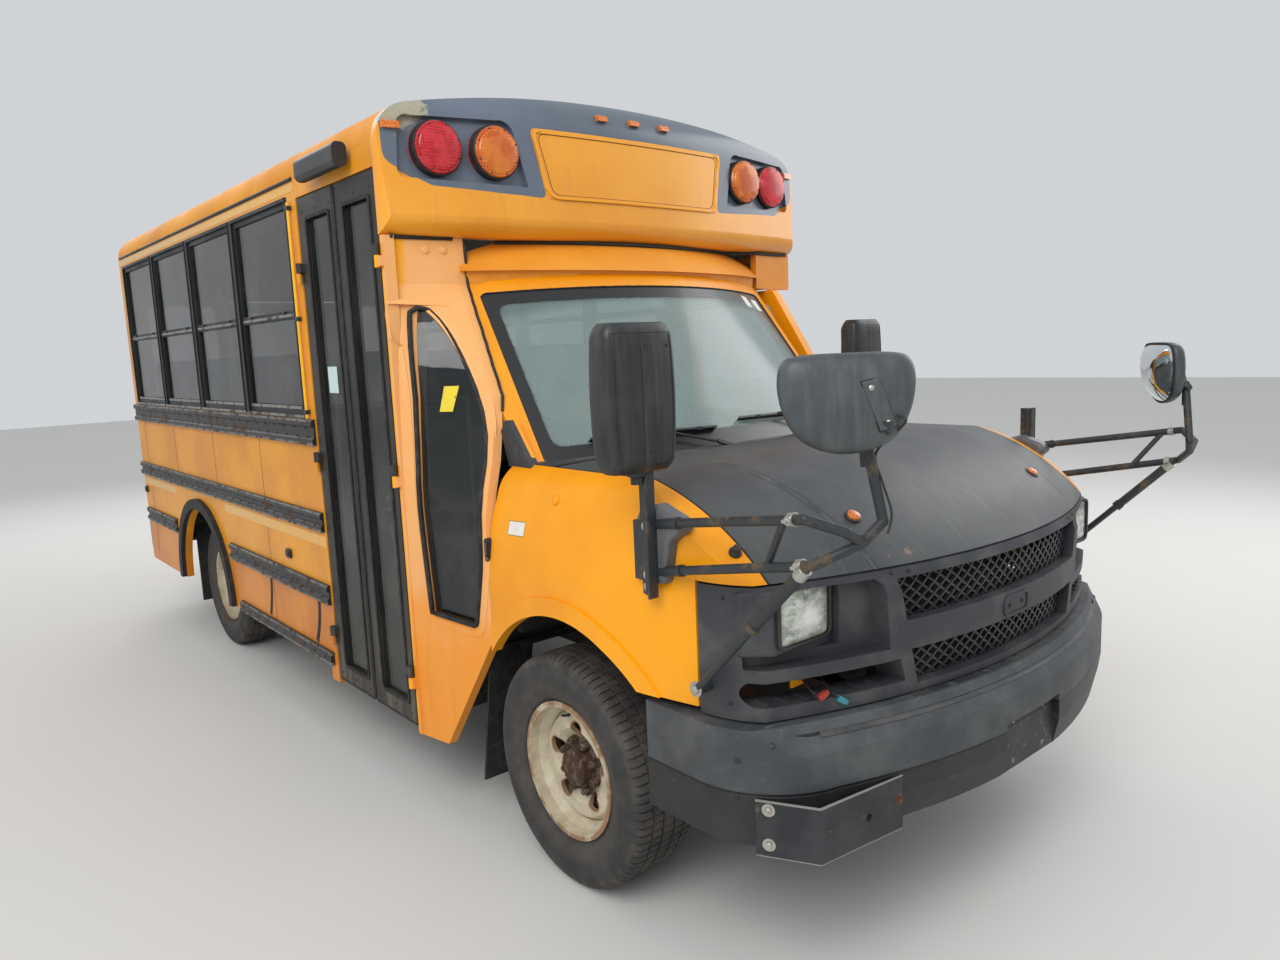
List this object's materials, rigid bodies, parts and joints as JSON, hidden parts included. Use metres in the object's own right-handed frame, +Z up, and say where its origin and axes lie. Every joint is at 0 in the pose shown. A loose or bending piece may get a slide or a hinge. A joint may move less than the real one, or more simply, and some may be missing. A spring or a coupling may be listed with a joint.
{
  "type": "short school bus",
  "caption": "Short yellow school bus on a van cutaway chassis, with folding entrance doors, stop arm, warning lamps, black rub rails and bench seats",
  "frame": {"origin": "on the ground, in the middle of the overall length and width, mirrors included", "axes": "+Z up, the bus faces -Y, its entrance doors are on the -X side"},
  "size_m": [2.32, 6.186, 2.672],
  "materials": {
    "yellow_paint": "worn gloss",
    "hood_paint": "textured",
    "moulded_grey": "textured",
    "black_trim": "worn satin",
    "black_plastic": "matte",
    "chassis_black": "dusty",
    "bare_steel": "weathered",
    "wheel_paint": "worn satin",
    "tyre_rubber": "matte",
    "rubber": "matte",
    "window_glass": "clear",
    "lamp_lens": "clear lens",
    "clear_lens": "clear lens",
    "slate_band": "painted",
    "lining": "satin",
    "vinyl": "satin vinyl",
    "sign_red": "reflective"
  },
  "bodies": {
    "bus_body": {"chassis_frame": "chassis_black", "front_suspension": "chassis_black", "engine": "chassis_black", "driveline": "bare_steel", "rear_axle": "chassis_black", "leaf_springs": "chassis_black", "fuel_tank": "bare_steel", "exhaust": "bare_steel", "body_floor": "lining", "side_walls": "yellow_paint", "window_bands": "yellow_paint", "window_frames": "black_trim", "roof": "yellow_paint", "rear_wall": "yellow_paint", "front_cap": "slate_band", "cap_fairing": "yellow_paint", "warning_lamps": "lamp_lens", "small_lamps": "lamp_lens", "entry_lamp": "yellow_paint", "cab_fenders": "yellow_paint", "front_fascia": "moulded_grey", "grille": "moulded_grey", "headlamps": "clear_lens", "front_bumper": "black_trim", "gate_bracket": "bare_steel", "cab_frame": "yellow_paint", "windshield": "window_glass", "transition_panels": "yellow_paint", "body_glass": "window_glass", "rub_rails": "black_trim", "rubber_guards": "rubber", "rear_bumper": "black_trim", "mirror_arms": "black_trim", "mirror_heads": "black_plastic", "passenger_seats": "vinyl", "driver_seat": "vinyl", "dashboard": "black_plastic"},
    "hood": {"hood": "hood_paint"},
    "driver_door": {"driver_door": "yellow_paint", "driver_door_glass": "window_glass", "door_mirror": "black_plastic"},
    "entry_front": {"entry_door_front": "black_trim", "entry_glass_front": "window_glass"},
    "entry_rear": {"entry_door_rear": "black_trim", "entry_glass_rear": "window_glass"},
    "rear_door": {"rear_door": "yellow_paint", "rear_door_glass": "window_glass"},
    "stop_arm": {"stop_arm": "sign_red"},
    "knuckle_right": {"knuckle_right": "bare_steel"},
    "knuckle_left": {"knuckle_left": "bare_steel"},
    "wheel_front_right": {"wheel_front_right": "wheel_paint", "tyre_front_right": "tyre_rubber"},
    "wheel_front_left": {"wheel_front_left": "wheel_paint", "tyre_front_left": "tyre_rubber"},
    "wheel_rear_right": {"wheel_rear_right": "wheel_paint", "tyre_rear_right": "tyre_rubber"},
    "wheel_rear_left": {"wheel_rear_left": "wheel_paint", "tyre_rear_left": "tyre_rubber"}
  },
  "joints": [
    {"name": "hood_hinge", "type": "hinge", "parent": "bus_body", "child": "hood", "pos_m": [0, -1.772, 1.3], "axis": [-1, 0, 0], "range_deg": [0, 48]},
    {"name": "driver_door_hinge", "type": "hinge", "parent": "bus_body", "child": "driver_door", "pos_m": [1.018, -1.55, 1], "axis": [0, 0, -1], "range_deg": [0, 70]},
    {"name": "entry_front_hinge", "type": "hinge", "parent": "bus_body", "child": "entry_front", "pos_m": [-1.097, -1.096, 1.3], "axis": [0, 0, 1], "range_deg": [0, 88]},
    {"name": "entry_rear_hinge", "type": "hinge", "parent": "bus_body", "child": "entry_rear", "pos_m": [-1.097, -0.352, 1.3], "axis": [0, 0, -1], "range_deg": [0, 88]},
    {"name": "rear_door_hinge", "type": "hinge", "parent": "bus_body", "child": "rear_door", "pos_m": [-0.403, 2.973, 1.42], "axis": [0, 0, 1], "range_deg": [0, 115]},
    {"name": "stop_arm_hinge", "type": "hinge", "parent": "bus_body", "child": "stop_arm", "pos_m": [1.119, -0.384, 1.2], "axis": [0, 0, -1], "range_deg": [0, 90]},
    {"name": "steer_right", "type": "hinge", "parent": "bus_body", "child": "knuckle_right", "pos_m": [-0.745, -1.892, 0.379], "axis": [0, 0, 1], "range_deg": [-32, 32]},
    {"name": "steer_left", "type": "hinge", "parent": "bus_body", "child": "knuckle_left", "pos_m": [0.745, -1.892, 0.379], "axis": [0, 0, 1], "range_deg": [-32, 32]},
    {"name": "spin_front_right", "type": "hinge", "parent": "knuckle_right", "child": "wheel_front_right", "pos_m": [-0.866, -1.892, 0.379], "axis": [1, 0, 0], "continuous": true},
    {"name": "spin_front_left", "type": "hinge", "parent": "knuckle_left", "child": "wheel_front_left", "pos_m": [0.866, -1.892, 0.379], "axis": [1, 0, 0], "continuous": true},
    {"name": "spin_rear_right", "type": "hinge", "parent": "bus_body", "child": "wheel_rear_right", "pos_m": [-0.866, 1.639, 0.379], "axis": [1, 0, 0], "continuous": true},
    {"name": "spin_rear_left", "type": "hinge", "parent": "bus_body", "child": "wheel_rear_left", "pos_m": [0.866, 1.639, 0.379], "axis": [1, 0, 0], "continuous": true}
  ],
  "couplings": [
    {"joint": "entry_rear_hinge", "follows": "entry_front_hinge", "ratio": 1},
    {"joint": "steer_left", "follows": "steer_right", "ratio": 1}
  ]
}
